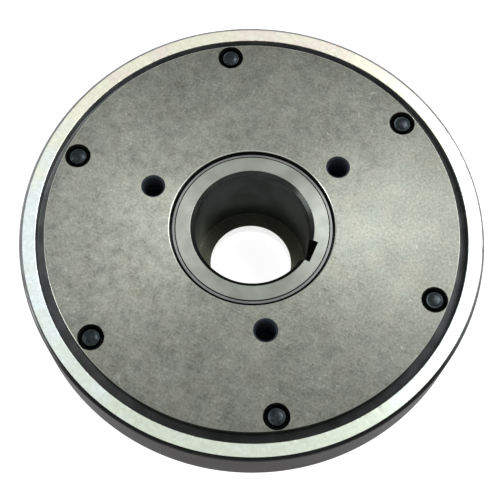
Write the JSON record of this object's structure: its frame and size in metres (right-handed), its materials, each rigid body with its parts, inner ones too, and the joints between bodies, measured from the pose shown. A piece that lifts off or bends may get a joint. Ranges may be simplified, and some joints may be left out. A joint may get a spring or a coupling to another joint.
{
  "type": "flywheel",
  "caption": "Permanent-magnet flywheel for a small engine: plated steel cup with a riveted face plate, keyed hub bore, tapped puller holes and an open side for the stator.",
  "frame": {"origin": "centre of the box's base, on the crankshaft axis, at the end face of the hub's nose", "axes": "+Z along the crankshaft axis from the nose to the closed face, +X through the keyway"},
  "size_m": [0.1126, 0.1126, 0.03],
  "materials": {
    "zinc_plate": "bright zinc plating with a faint rainbow tint",
    "ground_steel": "ground, mottled",
    "turned_steel": "turned",
    "black_oxide": "glossy black oxide",
    "rivet_steel": "plain, hammered",
    "cast_aluminium": "as cast",
    "stainless_sheet": "cold rolled",
    "ferrite": "sintered, matt"
  },
  "bodies": {
    "root": {"rim_cup": "zinc_plate", "face_plate": "ground_steel", "hub": "turned_steel", "magnet_frame": "cast_aluminium", "retaining_sleeve": "stainless_sheet", "rim_rivet_1": "black_oxide", "rim_rivet_2": "black_oxide", "rim_rivet_3": "black_oxide", "rim_rivet_4": "black_oxide", "rim_rivet_5": "black_oxide", "rim_rivet_6": "black_oxide", "hub_rivet_1": "rivet_steel", "hub_rivet_2": "rivet_steel", "hub_rivet_3": "rivet_steel", "hub_rivet_4": "rivet_steel", "hub_rivet_5": "rivet_steel", "hub_rivet_6": "rivet_steel", "magnet_1": "ferrite", "magnet_2": "ferrite", "magnet_3": "ferrite", "magnet_4": "ferrite", "magnet_5": "ferrite", "magnet_6": "ferrite"}
  },
  "joints": []
}
